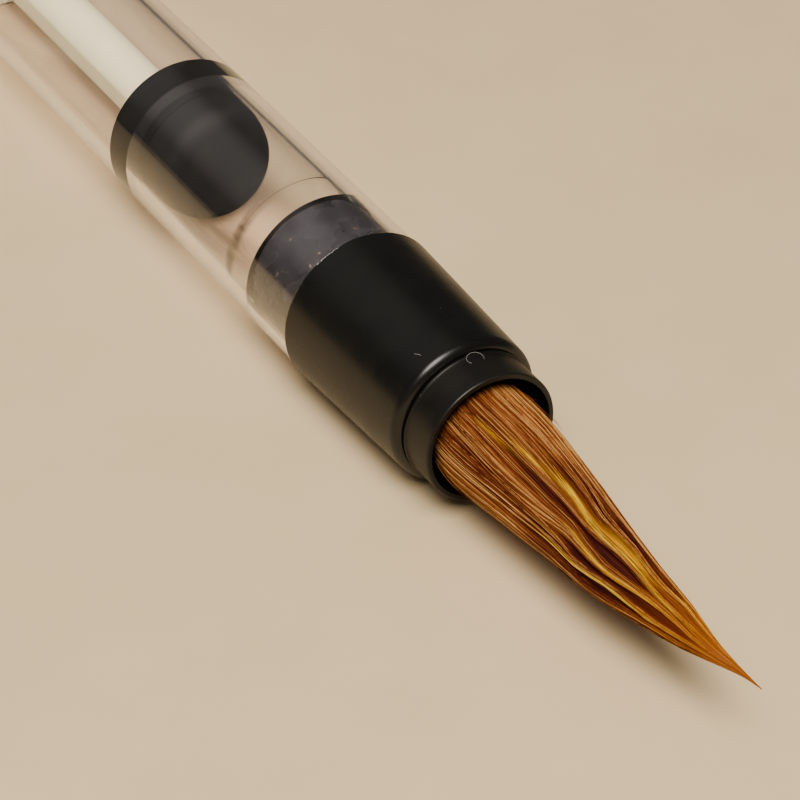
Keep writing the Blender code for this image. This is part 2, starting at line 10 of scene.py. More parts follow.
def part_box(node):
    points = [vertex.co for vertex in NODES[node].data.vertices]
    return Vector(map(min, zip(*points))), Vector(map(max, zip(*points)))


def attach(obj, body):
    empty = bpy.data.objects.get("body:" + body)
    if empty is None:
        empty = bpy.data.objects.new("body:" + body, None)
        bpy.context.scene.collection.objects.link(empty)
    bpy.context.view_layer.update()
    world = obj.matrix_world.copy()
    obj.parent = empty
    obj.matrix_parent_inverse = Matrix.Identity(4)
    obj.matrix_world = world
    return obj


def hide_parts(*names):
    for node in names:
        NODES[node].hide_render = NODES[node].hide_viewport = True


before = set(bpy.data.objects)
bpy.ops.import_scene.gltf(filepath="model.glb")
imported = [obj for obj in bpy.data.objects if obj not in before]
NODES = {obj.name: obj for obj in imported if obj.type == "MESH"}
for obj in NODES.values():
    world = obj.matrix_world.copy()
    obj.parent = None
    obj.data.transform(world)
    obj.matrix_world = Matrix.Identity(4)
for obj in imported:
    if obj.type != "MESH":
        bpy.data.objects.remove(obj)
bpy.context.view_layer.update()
MM = 0.001

# The pen's axis, and the grip section's rear edge, from which every distance along the pen is counted
barrel_low, barrel_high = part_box("barrel")
AXIS_Y = (barrel_low.y + barrel_high.y) / 2
AXIS_Z = (barrel_low.z + barrel_high.z) / 2
GRIP_FRONT = 15.4
REAR_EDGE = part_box("grip_section")[1].x - GRIP_FRONT * MM
PEN = Matrix.Translation((REAR_EDGE, AXIS_Y, AXIS_Z)) @ Matrix.Rotation(math.radians(90.0), 4, "Y")

# Sizes in millimetres that more than one piece needs
WIDEST = 6.75                      # radius of the grip section and the collar, which touch the table
BORE = 5.4                         # radius of the ink chamber
BORE_FRONT = -9.7                  # the small step at the chamber's front end
BORE_REAR = -61.6                  # the step that the rod guide sits behind
CLIP_REACH = 9.5                   # from the pen's axis to the clip arm's outer face
CLIP_HALF_WIDE = 2.0

# The pen has rolled until a corner of the clip touches the table
CLIP_ANGLE = (math.acos(WIDEST / math.hypot(CLIP_REACH, CLIP_HALF_WIDE))
              + math.atan2(CLIP_HALF_WIDE, CLIP_REACH))


# ---------------------------------------------------------------- materials

def new_material(name):
    """A new material, its node tree and its Principled shader."""
    made = bpy.data.materials.new(name)
    made.use_nodes = True
    return made, made.node_tree, made.node_tree.nodes["Principled BSDF"]


def node(tree, kind, **sockets):
    """Adds a node; a key sets an input by name, with _ for a space."""
    made = tree.nodes.new(kind)
    for key, value in sockets.items():
        made.inputs[key.replace("_", " ")].default_value = value
    return made


def link(tree, source, target):
    tree.links.new(source, target)


def object_space(tree, stretch=(1.0, 1.0, 1.0)):
    """Object coordinates in millimetres, stretched along an axis."""
    coords = tree.nodes.new("ShaderNodeTexCoord")
    scale = tree.nodes.new("ShaderNodeMapping")
    scale.inputs["Scale"].default_value = [s / MM for s in stretch]
    link(tree, coords.outputs["Object"], scale.inputs["Vector"])
    return scale.outputs["Vector"]


def noise(tree, vector, scale, detail=2.0, roughness=0.5):
    """Noise from about 0.2 to 0.8."""
    made = node(tree, "ShaderNodeTexNoise", Scale=scale, Detail=detail, Roughness=roughness)
    link(tree, vector, made.inputs["Vector"])
    return made.outputs["Fac"]


def ramp(tree, source, stops):
    """A colour ramp; each stop is (position, colour)."""
    made = tree.nodes.new("ShaderNodeValToRGB")
    elements = made.color_ramp.elements
    while len(elements) < len(stops):
        elements.new(0.5)
    for element, (place, colour) in zip(elements, stops):
        element.position = place
        element.color = (*colour, 1.0)
    link(tree, source, made.inputs["Fac"])
    return made.outputs["Color"]


def remap(tree, source, low, high, out_low=0.0, out_high=1.0):
    """Maps low..high to out_low..out_high, smoothly and with clamping."""
    made = tree.nodes.new("ShaderNodeMapRange")
    made.interpolation_type = "SMOOTHSTEP"
    made.inputs["From Min"].default_value = low
    made.inputs["From Max"].default_value = high
    made.inputs["To Min"].default_value = out_low
    made.inputs["To Max"].default_value = out_high
    link(tree, source, made.inputs["Value"])
    return made.outputs["Result"]


def math_node(tree, kind, first, second):
    """Combines two values; each is a number or a socket."""
    made = tree.nodes.new("ShaderNodeMath")
    made.operation = kind
    for socket, value in zip(made.inputs, (first, second)):
        if isinstance(value, float):
            socket.default_value = value
        else:
            link(tree, value, socket)
    return made.outputs["Value"]


def mix_colour(tree, factor, first, second, blend="MIX"):
    """Blends two colours; each input is a number, a colour or a socket."""
    made = tree.nodes.new("ShaderNodeMix")
    made.data_type = "RGBA"
    made.blend_type = blend
    for name, value in (("Factor_Float", factor), ("A_Color", first), ("B_Color", second)):
        socket = next(s for s in made.inputs if s.identifier == name)
        if isinstance(value, float):
            socket.default_value = value
        elif isinstance(value, tuple):
            socket.default_value = (*value, 1.0)
        else:
            link(tree, value, socket)
    return next(s for s in made.outputs if s.identifier == "Result_Color")


def bump(tree, height, strength, distance):
    """A normal that follows the height."""
    made = node(tree, "ShaderNodeBump", Strength=strength, Distance=distance)
    link(tree, height, made.inputs["Height"])
    return made.outputs["Normal"]


def moulded_plastic(name, colour, worn, roughness, dust=0.0, scuff=0.3, grain=0.0, gloss=0.5):
    """Injection-moulded plastic: colour clouds, light scuffs, dust specks, and less gloss at its edges."""
    made, tree, shader = new_material(name)
    space = object_space(tree)
    clouds = noise(tree, space, 0.35, 3.0)
    scuffs = remap(tree, noise(tree, object_space(tree, (1.0, 1.0, 0.3)), 1.1, 5.0, 0.7), 0.58, 0.80)
    base = mix_colour(tree, remap(tree, clouds, 0.3, 0.7), colour, worn)
    if dust:
        specks = remap(tree, noise(tree, space, 3.4, 3.0, 0.75), 0.745, 0.785, 0.0, dust)
        base = mix_colour(tree, specks, base, (0.42, 0.38, 0.31))
    link(tree, base, shader.inputs["Base Color"])
    rough = remap(tree, clouds, 0.25, 0.75, roughness, roughness * 1.25)
    rough = math_node(tree, "ADD", rough, math_node(tree, "MULTIPLY", scuffs, 0.18 * scuff))
    link(tree, rough, shader.inputs["Roughness"])
    facing = node(tree, "ShaderNodeLayerWeight", Blend=0.5)
    fall = remap(tree, facing.outputs["Facing"], 0.35, 0.80, gloss, 0.15 * gloss)
    link(tree, fall, shader.inputs["Specular IOR Level"])
    if grain:
        fine = noise(tree, space, 14.0, 3.0)
        link(tree, bump(tree, fine, grain, 0.006 * MM), shader.inputs["Normal"])
    return made


def stain_spigot(made):
    """Dried flakes and a bluish haze on the part that sits inside the tube, behind the rear edge."""
    tree = made.node_tree
    shader = tree.nodes["Principled BSDF"]
    plain = shader.inputs["Base Color"].links[0].from_socket
    space = object_space(tree)
    split = tree.nodes.new("ShaderNodeSeparateXYZ")
    link(tree, space, split.inputs["Vector"])
    behind = remap(tree, split.outputs["Z"], -0.2, -0.9, 0.0, 1.0)
    cloud = remap(tree, noise(tree, space, 0.5, 4.0, 0.6), 0.30, 0.70, 0.25, 0.9)
    haze = math_node(tree, "MULTIPLY", behind, cloud)
    base = mix_colour(tree, haze, plain, (0.040, 0.037, 0.042))
    flakes = remap(tree, noise(tree, space, 0.95, 3.0, 0.7), 0.665, 0.70, 0.0, 1.0)
    base = mix_colour(tree, math_node(tree, "MULTIPLY", behind, flakes), base, (0.30, 0.21, 0.12))
    link(tree, base, shader.inputs["Base Color"])


def painted_bore_shade(tree, clean):
    """The colour of the tube's wall, with painted shade low in the bore next to the seal, and in a thin arc
    at its front step.
    """
    space = object_space(tree)
    split = tree.nodes.new("ShaderNodeSeparateXYZ")
    link(tree, space, split.inputs["Vector"])
    across, along = split.outputs["Y"], split.outputs["Z"]
    radius = tree.nodes.new("ShaderNodeVectorMath")
    radius.operation = "LENGTH"
    link(tree, object_space(tree, (1.0, 1.0, 0.0)), radius.inputs[0])
    in_bore = remap(tree, radius.outputs["Value"], 6.3, 6.1)
    patches = noise(tree, object_space(tree, (1.0, 1.0, 0.3)), 0.5, 4.0, 0.6)
    # Painted shade low in the bore on the camera's side: the seal's shade painted into the wall, darkest next
    # to the seal's front and fading towards the grip.
    down = math_node(tree, "MULTIPLY", split.outputs["X"], 0.866)
    down = math_node(tree, "SUBTRACT", down, math_node(tree, "MULTIPLY", across, 0.5))
    toward_seal = remap(tree, along, -9.5, -19.0, 0.12, 1.0)
    seal_shade = math_node(tree, "MULTIPLY", remap(tree, down, 3.4, 5.2), toward_seal)
    seal_shade = math_node(tree, "MULTIPLY", seal_shade, remap(tree, along, -30.0, -24.0))
    seal_shade = math_node(tree, "MULTIPLY", seal_shade, remap(tree, patches, 0.30, 0.65, 0.55, 1.0))
    # Painted shade in a thin arc at the bore's front step, only on the side that faces the camera.
    beside = math_node(tree, "ABSOLUTE", math_node(tree, "SUBTRACT", along, BORE_FRONT), 0.0)
    one_side = remap(tree, across, -1.6, -4.4, 0.12, 1.0)
    ring = math_node(tree, "MULTIPLY", remap(tree, beside, 0.95, 0.25), one_side)
    ring = math_node(tree, "MULTIPLY", ring, remap(tree, patches, 0.35, 0.60, 0.45, 1.0))
    # Where either painted shade lies, the wall turns dark brown.
    dark = math_node(tree, "MULTIPLY", in_bore, math_node(tree, "MAXIMUM", seal_shade, ring))
    return mix_colour(tree, dark, clean, (0.085, 0.070, 0.064))


def clear_plastic():
    """Polished acrylic. Lamps shine through it, less so at its edges, so what is inside is lit."""
    made, tree, shader = new_material("clear_acrylic")
    # The wall's colour carries the painted shade in the bore.
    link(tree, painted_bore_shade(tree, (0.965, 0.945, 0.955)), shader.inputs["Base Color"])
    shader.inputs["Transmission Weight"].default_value = 1.0
    shader.inputs["IOR"].default_value = 1.49
    smear = noise(tree, object_space(tree), 0.5, 4.0, 0.6)
    link(tree, remap(tree, smear, 0.40, 0.75, 0.025, 0.075), shader.inputs["Roughness"])
    output = tree.nodes["Material Output"]
    path = tree.nodes.new("ShaderNodeLightPath")
    facing = node(tree, "ShaderNodeLayerWeight", Blend=0.5)
    passing = tree.nodes.new("ShaderNodeBsdfTransparent")
    through = ramp(tree, facing.outputs["Facing"], ((0.45, (0.74, 0.715, 0.70)), (0.95, (0.32, 0.26, 0.23))))
    link(tree, through, passing.inputs["Color"])
    mixed = tree.nodes.new("ShaderNodeMixShader")
    link(tree, path.outputs["Is Shadow Ray"], mixed.inputs["Fac"])
    link(tree, shader.outputs["BSDF"], mixed.inputs[1])
    link(tree, passing.outputs["BSDF"], mixed.inputs[2])
    link(tree, mixed.outputs["Shader"], output.inputs["Surface"])
    return made


def polished_metal(name, colour, roughness):
    """Plated metal with turning marks and fingerprints."""
    made, tree, shader = new_material(name)
    shader.inputs["Metallic"].default_value = 1.0
    space = object_space(tree)
    marks = noise(tree, object_space(tree, (0.3, 0.3, 9.0)), 2.5, 4.0, 0.6)
    prints = noise(tree, space, 0.45, 4.0, 0.6)
    darker = tuple(c * 0.82 for c in colour)
    link(tree, mix_colour(tree, remap(tree, prints, 0.3, 0.7), darker, colour), shader.inputs["Base Color"])
    rough = remap(tree, prints, 0.35, 0.75, roughness, roughness * 2.0)
    link(tree, rough, shader.inputs["Roughness"])
    link(tree, bump(tree, marks, 0.2, 0.004 * MM), shader.inputs["Normal"])
    return made


def hair_material(name, body):
    """Wet weasel hair. Each point carries its place, its tone from dark to pale, and how much painted
    highlight lies on it.
    """
    made, tree, shader = new_material(name)

    def carried(attribute, output="Fac"):
        reader = tree.nodes.new("ShaderNodeAttribute")
        reader.attribute_name = attribute
        return reader.outputs[output]

    place = carried("hair_place", "Vector")
    split = tree.nodes.new("ShaderNodeSeparateXYZ")
    link(tree, place, split.inputs["Vector"])
    along = split.outputs["Z"]

    def stretched(scale, drift):
        mapping = tree.nodes.new("ShaderNodeMapping")
        mapping.inputs["Scale"].default_value = scale
        mapping.inputs["Location"].default_value = drift
        link(tree, place, mapping.inputs["Vector"])
        return mapping.outputs["Vector"]

    streaks = noise(tree, stretched((16.0, 16.0, 1.8), (0.0, 0.0, 0.0)), 1.0, 3.0, 0.6)
    fine = noise(tree, stretched((70.0, 70.0, 3.0), (7.0, 2.0, 0.0)), 1.0, 2.0, 0.6)
    tone = math_node(tree, "ADD", carried("hair_tone"), remap(tree, streaks, 0.3, 0.7, -0.10, 0.10))
    tone = math_node(tree, "ADD", tone, remap(tree, fine, 0.3, 0.7, -0.09, 0.09))
    # The body under the strands is painted darker: painted shade beneath the loose strands.
    if body:
        tone = math_node(tree, "SUBTRACT", tone, 0.16)
    colour = ramp(tree, tone, (
        (0.02, (0.028, 0.004, 0.003)),
        (0.22, (0.085, 0.014, 0.006)),
        (0.42, (0.180, 0.042, 0.010)),
        (0.62, (0.290, 0.088, 0.019)),
        (0.80, (0.450, 0.170, 0.038)),
        (1.00, (0.760, 0.410, 0.120)),
    ))
    amber = remap(tree, along, 0.50, 0.88, 0.0, 0.85)
    lit = ramp(tree, tone, (
        (0.08, (0.13, 0.022, 0.003)),
        (0.42, (0.46, 0.140, 0.007)),
        (0.80, (0.70, 0.280, 0.014)),
    ))
    colour = mix_colour(tree, amber, colour, lit)
    # Painted highlights: bright yellow streaks where light catches the wet hair, laid on along the bright
    # yellow locks.
    highlight = math_node(tree, "MULTIPLY", carried("hair_highlight"), remap(tree, fine, 0.35, 0.6, 0.8, 1.0))
    highlight_colour = ramp(tree, tone, (
        (0.15, (0.42, 0.15, 0.00)),
        (0.42, (0.80, 0.41, 0.00)),
        (0.80, (1.00, 0.66, 0.03)),
    ))
    colour = mix_colour(tree, highlight, colour, highlight_colour)
    # Painted shade at the root: the hair inside the neck is darkened, as in the rim's shadow.
    root = remap(tree, along, -0.05, 0.015, 0.12, 1.0)
    shade = tree.nodes.new("ShaderNodeCombineColor")
    for channel in shade.inputs:
        link(tree, root, channel)
    colour = mix_colour(tree, 1.0, colour, shade.outputs["Color"], "MULTIPLY")
    link(tree, colour, shader.inputs["Base Color"])
    link(tree, remap(tree, along, 0.0, 0.7, 0.38, 0.26), shader.inputs["Roughness"])
    shader.inputs["Specular IOR Level"].default_value = 0.14
    if body:
        link(tree, bump(tree, fine, 0.4, 0.03 * MM), shader.inputs["Normal"])
    return made


GLOSS_BLACK = moulded_plastic("gloss_black", (0.0045, 0.0045, 0.004), (0.006, 0.006, 0.005), 0.24, dust=0.5,
                              gloss=0.34)
NECK_BLACK = moulded_plastic("neck_black", (0.005, 0.005, 0.0045), (0.010, 0.009, 0.007), 0.32, dust=0.9,
                             gloss=0.24)
SATIN_BLACK = moulded_plastic("satin_black", (0.010, 0.010, 0.010), (0.016, 0.016, 0.016), 0.42, grain=0.2)
SILICONE = moulded_plastic("silicone", (0.008, 0.007, 0.007), (0.012, 0.011, 0.010), 0.54, scuff=0.2,
                           gloss=0.10)
WARM_WHITE = moulded_plastic("warm_white", (0.95, 0.88, 0.57), (0.91, 0.83, 0.52), 0.38)
SLIP = moulded_plastic("slip_washer", (0.80, 0.78, 0.70), (0.72, 0.70, 0.62), 0.35)
RESIN = moulded_plastic("root_resin", (0.38, 0.16, 0.04), (0.30, 0.11, 0.03), 0.25)
FIBRE = moulded_plastic("wick_fibre", (0.80, 0.78, 0.72), (0.66, 0.64, 0.58), 0.85, grain=0.8)
THREAD = moulded_plastic("waxed_thread", (0.68, 0.62, 0.50), (0.55, 0.49, 0.38), 0.7, grain=0.6)
RUBBER = moulded_plastic("oring_rubber", (0.012, 0.012, 0.012), (0.020, 0.020, 0.020), 0.6, grain=0.3)
GRIP_BLACK = moulded_plastic("grip_black", (0.0045, 0.0045, 0.004), (0.006, 0.006, 0.005), 0.24, dust=0.5,
                             gloss=0.34)
stain_spigot(GRIP_BLACK)
CHROME = polished_metal("plated_metal", (0.78, 0.76, 0.72), 0.10)
BRASS = polished_metal("turned_brass", (0.76, 0.56, 0.25), 0.24)
LINT = moulded_plastic("lint", (0.36, 0.35, 0.33), (0.28, 0.27, 0.25), 0.7)
INNER_HAIR = moulded_plastic("inner_hair", (0.25, 0.08, 0.02), (0.14, 0.04, 0.012), 0.5, grain=0.6)
CLEAR = clear_plastic()
TUFT_BODY = hair_material("tuft_body", True)
TUFT_HAIR = hair_material("tuft_hair", False)


# ---------------------------------------------------------------- shapes

def arc(along, out, radius, start, end, steps=8):
    """Points on a round: angles are in degrees from the forward direction towards the outside."""
    points = []
    for step in range(steps + 1):
        angle = math.radians(start + (end - start) * step / steps)
        points.append((along + radius * math.cos(angle), out + radius * math.sin(angle)))
    return points


def rounded(outline, radius, steps=4):
    """The outline with its corners rounded and a support point beside each; a corner on the axis stays.

    A gentle bend isn't rounded: it only gets a support point on a side that runs on for over a millimetre.
    """
    closed = outline[0][1] > 0.0
    count = len(outline)
    points = []
    for i, corner in enumerate(outline):
        if not closed and i in (0, count - 1):
            points.append(corner)
            continue
        here = Vector(corner)
        before = Vector(outline[i - 1]) - here
        after = Vector(outline[(i + 1) % count]) - here
        if before.normalized().dot(after.normalized()) < -0.98:
            for side in (before, None, after):
                if side is None:
                    points.append(corner)
                elif side.length > MM:
                    points.append(tuple(here + side.normalized() * 0.15 * MM))
            continue
        reach = min(radius, 0.35 * before.length, 0.35 * after.length)
        start = here + before.normalized() * reach
        end = here + after.normalized() * reach
        points.append(tuple(here + before.normalized() * reach * 1.35))
        for step in range(steps + 1):
            t = step / steps
            points.append(tuple(start.lerp(here, t).lerp(here.lerp(end, t), t)))
        points.append(tuple(here + after.normalized() * reach * 1.35))
    return points


def finish_mesh(made, material, body, replaced, sharp=40.0):
    """Shades a piece, gives it its material and puts it on its body."""
    made.data.materials.clear()
    made.data.materials.append(material)
    made.data.shade_smooth()
    made.data.set_sharp_from_angle(angle=math.radians(sharp))
    made.matrix_world = PEN
    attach(made, body)
    if replaced:
        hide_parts(*replaced)
    return made


def turned(name, outline, material, body, replaced=(), sides=144, shape_ring=None, edge=0.12 * MM):
    """A turned piece; shape_ring may move each point by its angle."""
    outline = rounded(outline, edge)
    closed = outline[0][1] > 0.0
    shape = bmesh.new()
    columns = []
    for side in range(sides):
        angle = 2.0 * math.pi * side / sides
        column = []
        for along, radius in outline:
            if radius <= 1e-9:
                column.append(None)
                continue
            out = shape_ring(along, radius, angle) if shape_ring else radius
            column.append(shape.verts.new((out * math.cos(angle), out * math.sin(angle), along)))
        columns.append(column)
    poles = {i: shape.verts.new((0.0, 0.0, outline[i][0])) for i, v in enumerate(columns[0]) if v is None}
    for column in columns:
        for i in poles:
            column[i] = poles[i]
    last = len(outline) if closed else len(outline) - 1
    for side in range(sides):
        near, far = columns[side], columns[(side + 1) % sides]
        for i in range(last):
            j = (i + 1) % len(outline)
            corners = list(dict.fromkeys((near[i], near[j], far[j], far[i])))
            if len(corners) > 2:
                shape.faces.new(corners)
    bmesh.ops.recalc_face_normals(shape, faces=shape.faces)
    mesh = bpy.data.meshes.new(name)
    shape.to_mesh(mesh)
    shape.free()
    made = bpy.data.objects.new(name, mesh)
    bpy.context.scene.collection.objects.link(made)
    return finish_mesh(made, material, body, replaced)


def smooth_curve(x, places, values):
    """A smooth curve through the given points (cubic, with slopes from the neighbours)."""
    places = np.asarray(places, float)
    values = np.asarray(values, float)
    slopes = np.gradient(values, places)
    i = np.clip(np.searchsorted(places, x) - 1, 0, len(places) - 2)
    width = places[i + 1] - places[i]
    t = np.clip((x - places[i]) / width, 0.0, 1.0)
    first = (1 + 2 * t) * (1 - t) ** 2 * values[i] + t * (1 - t) ** 2 * width * slopes[i]
    second = t * t * (3 - 2 * t) * values[i + 1] + t * t * (t - 1) * width * slopes[i + 1]
    return first + second


# ---------------------------------------------------------------- tuft

RIM = 18.85
TIP = 51.8
ROOT = 9.6
TUFT_OUTLINE = (                   # distance along the pen, radius, and sideways offset, in millimetres
    (ROOT, 4.1, 0.0),
    (15.5, 4.1, 0.0),
    (RIM, 4.3, -0.14),
    (22.6, 4.15, -0.12),
    (26.5, 3.7, -0.15),
    (31.0, 3.15, -0.2),
    (35.4, 2.65, -0.3),
    (39.5, 2.05, -0.15),
    (43.0, 1.5, 0.05),
    (46.0, 0.9, 0.2),
    (48.5, 0.43, 0.5),
    (50.2, 0.17, 0.7),
    (TIP, 0.03, 0.82),
)
TUFT_LEAN = np.array((-0.557, 0.83))   # the way the offset points, across the pen
CLUMPS = 44
RIBBONS = 12                       # the clumps draw together into these towards the tip

# Locks of hair: kind, half width in degrees, where it starts and ends as a share of the way to the tip,
# and its course as (share, angle) points. Angles run from straight up towards the +Y side.
LOCKS = (
    # The bright yellow locks are painted highlights.
    ("highlight", 2.8, 0.28, 0.82, ((0.30, -9), (0.38, -9), (0.50, -16), (0.61, -13), (0.72, -21), (0.79, -28))),
    ("highlight", 2.0, 0.16, 0.30, ((0.16, -20), (0.30, -12))),
    ("highlight", 5.0, 0.28, 0.66, ((0.28, -8), (0.52, -3), (0.62, 1))),
    ("highlight", 3.5, 0.36, 0.82, ((0.36, -80), (0.56, -78), (0.78, -86))),
    ("highlight", 2.5, 0.66, 0.78, ((0.66, 22), (0.78, 14))),
    ("highlight", 1.6, 0.05, 0.20, ((0.05, -30), (0.20, -27))),
    ("highlight", 2.2, 0.42, 0.78, ((0.42, -45), (0.78, -50))),
    ("highlight", 3.5, 0.25, 0.70, ((0.25, 108), (0.70, 100))),
    ("highlight", 3.0, 0.35, 0.80, ((0.35, -150), (0.80, -142))),
    # The dark locks are partly darker clumps and partly painted shade on the tuft's underside and on its +Y
    # side, away from the lamp.
    ("dark", 6.0, 0.02, 0.50, ((0.05, -56), (0.20, -60), (0.36, -73), (0.50, -68))),
    ("dark", 7.0, 0.42, 0.84, ((0.42, -62), (0.84, -66))),
    ("dark", 16.0, 0.24, 0.76, ((0.24, 12), (0.42, 18), (0.76, 34))),
    ("dark", 2.4, 0.36, 0.86, ((0.36, -26), (0.60, -27), (0.86, -38))),
    ("dark", 2.5, 0.48, 0.90, ((0.48, -8), (0.66, -6), (0.90, -12))),
    ("dark", 26.0, 0.30, 0.88, ((0.30, -112), (0.88, -120))),
    ("dark", 30.0, 0.15, 0.85, ((0.15, 150), (0.85, 160))),
    ("dark", 6.0, 0.05, 0.50, ((0.05, 78), (0.50, 70))),
    ("pale", 11.0, 0.00, 0.42, ((0.00, -36), (0.20, -46), (0.42, -52))),
    ("pale", 6.0, 0.00, 0.28, ((0.00, -4), (0.28, -16))),
    ("pale", 9.0, 0.05, 0.45, ((0.05, 120), (0.45, 112))),
    ("pale", 8.0, 0.05, 0.45, ((0.05, -165), (0.45, -158))),
)


def tuft_radius(along):
    """The tuft's radius at each place along the pen."""
    return smooth_curve(along, [s[0] for s in TUFT_OUTLINE], [s[1] for s in TUFT_OUTLINE])


def tuft_middle(along):
    """How far the tuft's middle line is off the pen's axis, as (x, y)."""
    offset = smooth_curve(along, [s[0] for s in TUFT_OUTLINE], [s[2] for s in TUFT_OUTLINE])
    return offset[..., None] * TUFT_LEAN


def share(along):
    """0 at the rim and 1 at the tip; below 0 inside the neck."""
    return (along - RIM) / (TIP - RIM)


def ease(x, low, high):
    """Rises smoothly from 0 at low to 1 at high."""
    t = np.clip((x - low) / (high - low), 0.0, 1.0)
    return t * t * (3.0 - 2.0 * t)


def around(angle):
    """The angle brought to between -180 and 180 degrees, in radians."""
    return (angle + math.pi) % (2.0 * math.pi) - math.pi


def tuft_point(angle, radius, along):
    """Points of the tuft from angle, radius and place along the pen, all in millimetres."""
    middle = tuft_middle(along)
    x = middle[..., 0] - radius * np.cos(angle)
    y = middle[..., 1] + radius * np.sin(angle)
    return np.stack([x, y, along], axis=-1) * MM


def lock_strength(kind, angle, place):
    """How far each point belongs to the locks of one kind."""
    total = np.zeros_like(place)
    for lock_kind, half_width, start, end, course in LOCKS:
        if lock_kind != kind:
            continue
        centre = np.radians(np.interp(place, [c[0] for c in course], [c[1] for c in course]))
        inside = np.exp(-(around(angle - centre) / math.radians(half_width)) ** 2)
        ends = ease(place, start - 0.04, start + 0.06) * (1.0 - ease(place, end - 0.10, end + 0.03))
        total = np.maximum(total, inside * ends)
    return total


def hair_look(angle, place):
    """Tone from dark to pale, partly painted shade in the dark, and the share of painted highlight."""
    tone = 0.46 + 0.05 * np.sin(3.0 * angle + 1.0) + 0.05 * np.sin(7.0 * angle + 5.0 * place)
    # Dark locks lower the tone, partly as painted shade.
    tone = tone - 0.32 * lock_strength("dark", angle, place) + 0.09 * lock_strength("pale", angle, place)
    return tone, lock_strength("highlight", angle, place)


def carry(mesh, angle, along, tone, highlight):
    """Stores where each vertex is on the tuft and how it looks."""
    place = np.stack([np.cos(angle), np.sin(angle), share(along)], axis=-1).astype(np.float32)
    mesh.attributes.new("hair_place", "FLOAT_VECTOR", "POINT").data.foreach_set("vector", place.ravel())
    mesh.attributes.new("hair_tone", "FLOAT", "POINT").data.foreach_set("value", tone.astype(np.float32))
    mesh.attributes.new("hair_highlight", "FLOAT", "POINT").data.foreach_set("value", highlight.astype(np.float32))


def clump_course(clumps, place):
    """The angle of each clump at each place: it sways a little, and joins its ribbon towards the tip."""
    ribbon = 2.0 * math.pi / RIBBONS
    home = clumps["angle"]
    target = (np.round(home / ribbon - 0.5) + 0.5) * ribbon
    join = 0.62 * ease(place, 0.18, 0.60)
    sway = clumps["sway"] * np.sin(place * clumps["pace"] + clumps["phase"]) * ease(place, 0.0, 0.2)
    return home + (target - home) * join + sway


def clump_wave(clumps, place):
    """The side to side waving of each ribbon in the tuft's front half."""
    reach = ease(place, 0.30, 0.48) * (1.0 - ease(place, 0.80, 0.94))
    return clumps["swing"] * np.sin(place * clumps["beat"] + 2.0 * clumps["phase"]) * reach


def pick_clumps(rng):
    """Where each clump of hair starts, and how it sways; the clumps of one ribbon move alike."""
    angle = (np.arange(CLUMPS) + rng.uniform(-0.28, 0.28, CLUMPS)) * 2 * math.pi / CLUMPS
    ribbon = np.clip((angle / (2.0 * math.pi) * RIBBONS).astype(int), 0, RIBBONS - 1)
    return {
        "angle": angle,
        "sway": rng.uniform(0.03, 0.11, RIBBONS)[ribbon],
        "pace": rng.uniform(5.0, 9.0, RIBBONS)[ribbon],
        "phase": rng.uniform(0.0, 6.28, RIBBONS)[ribbon],
        "rise": rng.uniform(0.0, 1.0, CLUMPS),
        "swing": rng.uniform(0.04, 0.11, RIBBONS)[ribbon],
        "beat": rng.uniform(18.0, 27.0, RIBBONS)[ribbon],
    }


def make_tuft_body(clumps):
    """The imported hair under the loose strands: a pointed form with soft ridges, one for each clump."""
    sides, rows = 264, 120
    along = np.concatenate([np.linspace(ROOT, RIM, 12)[:-1], np.linspace(RIM, TIP, rows)])
    angle = np.arange(sides) * 2 * math.pi / sides
    grid_along, grid_angle = np.meshgrid(along, angle, indexing="ij")
    each = {key: value[None, :] for key, value in clumps.items()}
    wave = clump_wave(each, share(along)[:, None])
    course = clump_course(each, share(along)[:, None]) + wave
    gap = np.abs(around(grid_angle[:, :, None] - course[:, None, :]))
    nearest = gap.min(-1)
    choice = gap.argmin(-1)
    rise = clumps["rise"][choice]
    wave = np.take_along_axis(wave, choice, 1)
    spacing = 2 * math.pi / CLUMPS
    ridge = np.cos(np.clip(nearest / (0.75 * spacing), 0, 1) * math.pi / 2)
    place = share(grid_along)
    depth = (0.10 + 0.16 * ease(place, 0.2, 0.5)) * ease(place, 0.0, 0.2) * (1 - ease(place, 0.62, 0.92))
    radius = tuft_radius(grid_along) * (0.955 - 0.03 * rise) - depth * (1 - ridge)
    radius = np.maximum(radius, 0.3 * tuft_radius(grid_along))
    points = tuft_point(grid_angle, radius, grid_along).reshape(-1, 3)
    faces = []
    for row in range(len(along) - 1):
        for side in range(sides):
            nxt = (side + 1) % sides
            near, far = row * sides, (row + 1) * sides
            faces.append((near + side, far + side, far + nxt, near + nxt))
    last = (len(along) - 1) * sides
    faces.append(tuple(range(sides)))
    faces.append(tuple(last + i for i in reversed(range(sides))))
    mesh = bpy.data.meshes.new("tuft_body")
    mesh.from_pydata(points.tolist(), [], faces)
    # Painted shade in the grooves between clumps: the tone drops by up to 0.10 away from each ridge.
    tone, highlight = hair_look((grid_angle - wave).ravel(), place.ravel())
    carry(mesh, grid_angle.ravel(), grid_along.ravel(), tone - 0.10 * (1 - ridge.ravel()), highlight)
    made = bpy.data.objects.new("tuft_body", mesh)
    bpy.context.scene.collection.objects.link(made)
    return finish_mesh(made, TUFT_BODY, "brush_head", ("cover_hair",), sharp=80.0)


